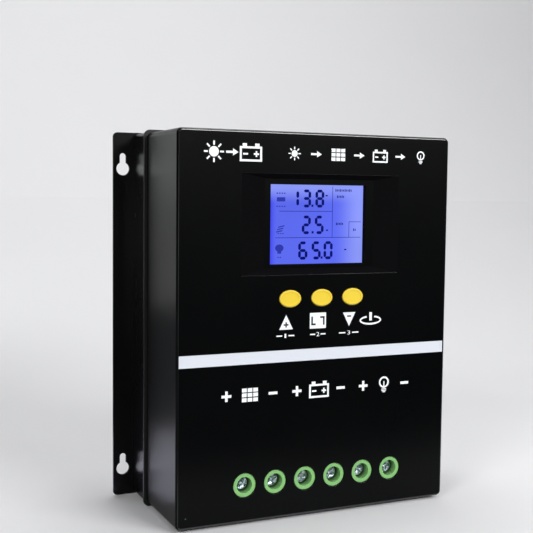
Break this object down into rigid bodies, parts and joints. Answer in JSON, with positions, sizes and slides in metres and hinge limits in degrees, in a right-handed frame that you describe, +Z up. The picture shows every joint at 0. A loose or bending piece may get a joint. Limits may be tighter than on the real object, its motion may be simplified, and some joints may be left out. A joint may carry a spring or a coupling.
{
  "type": "charge controller",
  "caption": "Wall-hung solar charge controller: black box with a sunk display, oval keys, a white stripe and screw terminals, hung from keyholes in its side flanges.",
  "frame": {"origin": "middle of the four keyholes, on the back plane that meets the wall", "axes": "+X to the right as the front is seen, +Y back into the wall, +Z up"},
  "size_m": [0.2172, 0.0893, 0.2439],
  "materials": {
    "cover_black": "satin black moulded plastic with a very fine grain",
    "trim_black": "dull black moulded trim",
    "case_black": "satin black powder coat on folded steel sheet",
    "plate_black": "satin black powder coat on flat steel sheet",
    "stripe_white": "white vinyl film",
    "key_yellow": "yellow moulded caps, soft sheen",
    "plunger_black": "black nylon",
    "switch_body": "black moulded switch bodies",
    "terminal_green": "green moulded terminal housings",
    "screw_zinc": "zinc-plated steel",
    "cage_zinc": "zinc-plated steel",
    "bar_tin": "tin-plated copper alloy",
    "display_glass": "blue-violet lit display glass",
    "backlight_white": "white light block",
    "holder_black": "black moulded holder",
    "board_green": "green solder mask on glass-fibre board",
    "post_brass": "turned brass",
    "fixing_steel": "plain steel screws",
    "fixing_black": "black oxide countersunk screws",
    "sink_aluminium": "extruded aluminium",
    "pad_grey": "grey silicone pad",
    "transistor_black": "black epoxy packages",
    "core_green": "coated powder core",
    "winding_copper": "enamelled copper wire",
    "can_sleeve": "sleeved aluminium cans",
    "shunt_metal": "bare resistance strip",
    "link_black": "black stacking connector"
  },
  "bodies": {
    "enclosure": {"front_cover": "cover_black", "trim_frame": "trim_black", "rear_case": "case_black", "wall_plate": "plate_black", "cover_screws": "fixing_black", "stripe_film": "stripe_white", "display_glass": "display_glass", "display_backlight": "backlight_white", "display_holder": "holder_black", "display_board": "board_green", "display_board_screws": "fixing_steel", "board_link": "link_black", "key_switches": "switch_body", "contact_bars": "bar_tin", "main_board": "board_green", "board_posts": "post_brass", "board_screws": "fixing_steel", "heat_sink": "sink_aluminium", "insulating_pad": "pad_grey", "transistor_clamp": "fixing_steel", "clamp_screws": "fixing_steel", "power_transistors": "transistor_black", "inductor_core": "core_green", "inductor_winding": "winding_copper", "bulk_capacitors": "can_sleeve", "shunt_resistors": "shunt_metal", "control_chip": "transistor_black", "driver_chips": "transistor_black", "terminal_housing_1": "terminal_green", "terminal_housing_2": "terminal_green", "terminal_housing_3": "terminal_green", "terminal_housing_4": "terminal_green", "terminal_housing_5": "terminal_green", "terminal_housing_6": "terminal_green"},
    "up_key": {"key_up": "key_yellow", "switch_plunger_up": "plunger_black"},
    "set_key": {"key_set": "key_yellow", "switch_plunger_set": "plunger_black"},
    "down_key": {"key_down": "key_yellow", "switch_plunger_down": "plunger_black"},
    "clamp_screw_1": {"terminal_screw_1": "screw_zinc"},
    "clamp_cage_1": {"terminal_cage_1": "cage_zinc"},
    "clamp_screw_2": {"terminal_screw_2": "screw_zinc"},
    "clamp_cage_2": {"terminal_cage_2": "cage_zinc"},
    "clamp_screw_3": {"terminal_screw_3": "screw_zinc"},
    "clamp_cage_3": {"terminal_cage_3": "cage_zinc"},
    "clamp_screw_4": {"terminal_screw_4": "screw_zinc"},
    "clamp_cage_4": {"terminal_cage_4": "cage_zinc"},
    "clamp_screw_5": {"terminal_screw_5": "screw_zinc"},
    "clamp_cage_5": {"terminal_cage_5": "cage_zinc"},
    "clamp_screw_6": {"terminal_screw_6": "screw_zinc"},
    "clamp_cage_6": {"terminal_cage_6": "cage_zinc"}
  },
  "joints": [
    {"name": "up_key_press", "type": "slide", "parent": "enclosure", "child": "up_key", "axis": [0, 1, 0], "range_m": [0, 0.0008], "stiffness_N_per_m": 1500},
    {"name": "set_key_press", "type": "slide", "parent": "enclosure", "child": "set_key", "axis": [0, 1, 0], "range_m": [0, 0.0008], "stiffness_N_per_m": 1500},
    {"name": "down_key_press", "type": "slide", "parent": "enclosure", "child": "down_key", "axis": [0, 1, 0], "range_m": [0, 0.0008], "stiffness_N_per_m": 1500},
    {"name": "clamp_screw_1_turn", "type": "hinge", "parent": "enclosure", "child": "clamp_screw_1", "pos_m": [-0.0498, -0.0785, -0.09405], "axis": [0, 1, 0], "range_deg": [0, 2160]},
    {"name": "clamp_cage_1_rise", "type": "slide", "parent": "enclosure", "child": "clamp_cage_1", "axis": [0, -1, 0], "range_m": [0, 0.006]},
    {"name": "clamp_screw_2_turn", "type": "hinge", "parent": "enclosure", "child": "clamp_screw_2", "pos_m": [-0.02914, -0.0785, -0.09405], "axis": [0, 1, 0], "range_deg": [0, 2160]},
    {"name": "clamp_cage_2_rise", "type": "slide", "parent": "enclosure", "child": "clamp_cage_2", "axis": [0, -1, 0], "range_m": [0, 0.006]},
    {"name": "clamp_screw_3_turn", "type": "hinge", "parent": "enclosure", "child": "clamp_screw_3", "pos_m": [-0.00848, -0.0785, -0.09405], "axis": [0, 1, 0], "range_deg": [0, 2160]},
    {"name": "clamp_cage_3_rise", "type": "slide", "parent": "enclosure", "child": "clamp_cage_3", "axis": [0, -1, 0], "range_m": [0, 0.006]},
    {"name": "clamp_screw_4_turn", "type": "hinge", "parent": "enclosure", "child": "clamp_screw_4", "pos_m": [0.01218, -0.0785, -0.09405], "axis": [0, 1, 0], "range_deg": [0, 2160]},
    {"name": "clamp_cage_4_rise", "type": "slide", "parent": "enclosure", "child": "clamp_cage_4", "axis": [0, -1, 0], "range_m": [0, 0.006]},
    {"name": "clamp_screw_5_turn", "type": "hinge", "parent": "enclosure", "child": "clamp_screw_5", "pos_m": [0.03284, -0.0785, -0.09405], "axis": [0, 1, 0], "range_deg": [0, 2160]},
    {"name": "clamp_cage_5_rise", "type": "slide", "parent": "enclosure", "child": "clamp_cage_5", "axis": [0, -1, 0], "range_m": [0, 0.006]},
    {"name": "clamp_screw_6_turn", "type": "hinge", "parent": "enclosure", "child": "clamp_screw_6", "pos_m": [0.0535, -0.0785, -0.09405], "axis": [0, 1, 0], "range_deg": [0, 2160]},
    {"name": "clamp_cage_6_rise", "type": "slide", "parent": "enclosure", "child": "clamp_cage_6", "axis": [0, -1, 0], "range_m": [0, 0.006]}
  ],
  "couplings": [
    {"joint": "clamp_screw_1_turn", "follows": "clamp_cage_1_rise", "rad_per_m": 6283.2},
    {"joint": "clamp_screw_2_turn", "follows": "clamp_cage_2_rise", "rad_per_m": 6283.2},
    {"joint": "clamp_screw_3_turn", "follows": "clamp_cage_3_rise", "rad_per_m": 6283.2},
    {"joint": "clamp_screw_4_turn", "follows": "clamp_cage_4_rise", "rad_per_m": 6283.2},
    {"joint": "clamp_screw_5_turn", "follows": "clamp_cage_5_rise", "rad_per_m": 6283.2},
    {"joint": "clamp_screw_6_turn", "follows": "clamp_cage_6_rise", "rad_per_m": 6283.2}
  ]
}
